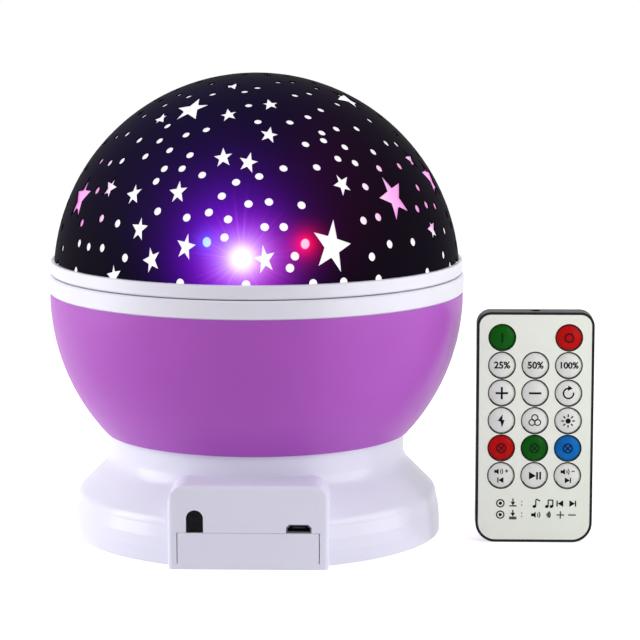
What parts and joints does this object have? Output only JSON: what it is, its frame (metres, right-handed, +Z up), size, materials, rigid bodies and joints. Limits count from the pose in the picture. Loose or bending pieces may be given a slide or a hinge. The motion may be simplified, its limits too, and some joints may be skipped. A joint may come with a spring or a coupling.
{
  "type": "star night light projector",
  "caption": "Star night light: a purple bowl and a dark dome pierced with stars turn on a flared white base, with a flat keypad remote.",
  "frame": {"origin": "on the globe's turning axis, in the plane of the rim that the base stands on", "axes": "+Z up; the socket box and the remote's keys face -Y; the remote stands to the right at +X"},
  "size_m": [0.1787, 0.1368, 0.1517],
  "materials": {
    "white_case": "satin white moulding with a faint lilac cast",
    "steel": "plated steel",
    "board": "green circuit board",
    "receiver": "black epoxy",
    "speaker_metal": "dark painted steel",
    "paper": "coated paper",
    "cell_sleeve": "printed sleeve, plain colour",
    "motor_case": "grey gearbox plastic",
    "white_gear": "natural acetal",
    "lamp_white": "white reflector plastic",
    "washer": "nylon",
    "lamp_board": "white solder mask",
    "led_white": "clear epoxy",
    "led_blue": "tinted epoxy",
    "led_red": "tinted epoxy",
    "led_green": "tinted epoxy",
    "wire": "vinyl insulation",
    "purple_bowl": "satin orchid purple moulding",
    "white_trim": "glossy white moulding",
    "clear_dome": "clear dome, lit from inside",
    "star_skin": "very dark violet skin",
    "remote_black": "black satin plastic",
    "remote_face": "off-white film overlay",
    "key_green": "glossy green key",
    "key_red": "glossy red key",
    "key_clear": "glossy white key",
    "key_blue": "glossy blue key"
  },
  "bodies": {
    "base": {"base_shell": "white_case", "bottom_cover": "white_case", "cover_screws": "steel", "main_board": "board", "usb_socket": "steel", "ir_receiver": "receiver", "speaker_frame": "speaker_metal", "speaker_cone": "paper", "battery_cells": "cell_sleeve", "battery_contacts": "steel", "gear_motor": "steel", "gearbox_case": "motor_case", "lamp_column": "lamp_white", "bearing_washer": "washer", "retaining_clip": "steel", "lamp_tray": "lamp_white", "led_board": "lamp_board", "led_white": "led_white", "led_blue": "led_blue", "led_red": "led_red", "led_green": "led_green", "lamp_lead": "wire", "tact_switches": "board"},
    "globe": {"bowl_shell": "purple_bowl", "ring_gear": "white_gear", "trim_ring": "white_trim"},
    "dome": {"dome_collar": "white_trim", "clear_dome": "clear_dome", "star_skin": "star_skin"},
    "pinion": {"drive_pinion": "white_gear", "output_shaft": "steel"},
    "battery_door": {"battery_door": "white_case"},
    "light_button": {"light_button": "white_case"},
    "colour_button": {"colour_button": "white_case"},
    "turn_button": {"turn_button": "white_case"},
    "remote": {"remote_back_shell": "remote_black", "remote_faceplate": "remote_face", "remote_board": "board", "remote_snap_domes": "steel", "remote_ir_led": "receiver"},
    "coin_drawer": {"coin_tray": "remote_black", "coin_cell": "steel"},
    "key_on": {"key_on": "key_green"},
    "key_off": {"key_off": "key_red"},
    "key_quarter": {"key_quarter": "key_clear"},
    "key_half": {"key_half": "key_clear"},
    "key_full": {"key_full": "key_clear"},
    "key_plus": {"key_plus": "key_clear"},
    "key_minus": {"key_minus": "key_clear"},
    "key_rotate": {"key_rotate": "key_clear"},
    "key_flash": {"key_flash": "key_clear"},
    "key_mix": {"key_mix": "key_clear"},
    "key_white": {"key_white": "key_clear"},
    "key_red": {"key_red": "key_red"},
    "key_green": {"key_green": "key_green"},
    "key_blue": {"key_blue": "key_blue"},
    "key_previous": {"key_previous": "key_clear"},
    "key_play": {"key_play": "key_clear"},
    "key_next": {"key_next": "key_clear"}
  },
  "joints": [
    {"name": "globe_spin", "type": "hinge", "parent": "base", "child": "globe", "pos_m": [0, 0, 0.05], "axis": [0, 0, 1], "continuous": true},
    {"name": "pinion_spin", "type": "hinge", "parent": "base", "child": "pinion", "pos_m": [-0.02546, 0.02546, 0.0315], "axis": [0, 0, 1], "continuous": true},
    {"name": "dome_twist", "type": "hinge", "parent": "globe", "child": "dome", "pos_m": [0, 0, 0.08], "axis": [0, 0, 1], "range_deg": [0, 20]},
    {"name": "battery_door_swing", "type": "hinge", "parent": "base", "child": "battery_door", "pos_m": [0, 0.00655, 0.00325], "axis": [1, 0, 0], "range_deg": [0, 45]},
    {"name": "remote_lift", "type": "slide", "parent": "base", "child": "remote", "axis": [0, 0, 1], "range_m": [0, 0.1]},
    {"name": "coin_tray_slide", "type": "slide", "parent": "remote", "child": "coin_drawer", "axis": [0, 0, -1], "range_m": [0, 0.024]},
    {"name": "light_button_press", "type": "slide", "parent": "base", "child": "light_button", "axis": [0, -1, 0], "range_m": [0, 0.0006], "stiffness_N_per_m": 600},
    {"name": "colour_button_press", "type": "slide", "parent": "base", "child": "colour_button", "axis": [0, -1, 0], "range_m": [0, 0.0006], "stiffness_N_per_m": 600},
    {"name": "turn_button_press", "type": "slide", "parent": "base", "child": "turn_button", "axis": [0, -1, 0], "range_m": [0, 0.0006], "stiffness_N_per_m": 600},
    {"name": "key_on_press", "type": "slide", "parent": "remote", "child": "key_on", "axis": [0, 1, 0], "range_m": [0, 0.0004], "stiffness_N_per_m": 400},
    {"name": "key_off_press", "type": "slide", "parent": "remote", "child": "key_off", "axis": [0, 1, 0], "range_m": [0, 0.0004], "stiffness_N_per_m": 400},
    {"name": "key_quarter_press", "type": "slide", "parent": "remote", "child": "key_quarter", "axis": [0, 1, 0], "range_m": [0, 0.0004], "stiffness_N_per_m": 400},
    {"name": "key_half_press", "type": "slide", "parent": "remote", "child": "key_half", "axis": [0, 1, 0], "range_m": [0, 0.0004], "stiffness_N_per_m": 400},
    {"name": "key_full_press", "type": "slide", "parent": "remote", "child": "key_full", "axis": [0, 1, 0], "range_m": [0, 0.0004], "stiffness_N_per_m": 400},
    {"name": "key_plus_press", "type": "slide", "parent": "remote", "child": "key_plus", "axis": [0, 1, 0], "range_m": [0, 0.0004], "stiffness_N_per_m": 400},
    {"name": "key_minus_press", "type": "slide", "parent": "remote", "child": "key_minus", "axis": [0, 1, 0], "range_m": [0, 0.0004], "stiffness_N_per_m": 400},
    {"name": "key_rotate_press", "type": "slide", "parent": "remote", "child": "key_rotate", "axis": [0, 1, 0], "range_m": [0, 0.0004], "stiffness_N_per_m": 400},
    {"name": "key_flash_press", "type": "slide", "parent": "remote", "child": "key_flash", "axis": [0, 1, 0], "range_m": [0, 0.0004], "stiffness_N_per_m": 400},
    {"name": "key_mix_press", "type": "slide", "parent": "remote", "child": "key_mix", "axis": [0, 1, 0], "range_m": [0, 0.0004], "stiffness_N_per_m": 400},
    {"name": "key_white_press", "type": "slide", "parent": "remote", "child": "key_white", "axis": [0, 1, 0], "range_m": [0, 0.0004], "stiffness_N_per_m": 400},
    {"name": "key_red_press", "type": "slide", "parent": "remote", "child": "key_red", "axis": [0, 1, 0], "range_m": [0, 0.0004], "stiffness_N_per_m": 400},
    {"name": "key_green_press", "type": "slide", "parent": "remote", "child": "key_green", "axis": [0, 1, 0], "range_m": [0, 0.0004], "stiffness_N_per_m": 400},
    {"name": "key_blue_press", "type": "slide", "parent": "remote", "child": "key_blue", "axis": [0, 1, 0], "range_m": [0, 0.0004], "stiffness_N_per_m": 400},
    {"name": "key_previous_press", "type": "slide", "parent": "remote", "child": "key_previous", "axis": [0, 1, 0], "range_m": [0, 0.0004], "stiffness_N_per_m": 400},
    {"name": "key_play_press", "type": "slide", "parent": "remote", "child": "key_play", "axis": [0, 1, 0], "range_m": [0, 0.0004], "stiffness_N_per_m": 400},
    {"name": "key_next_press", "type": "slide", "parent": "remote", "child": "key_next", "axis": [0, 1, 0], "range_m": [0, 0.0004], "stiffness_N_per_m": 400}
  ],
  "couplings": [
    {"joint": "pinion_spin", "follows": "globe_spin", "ratio": 7}
  ]
}
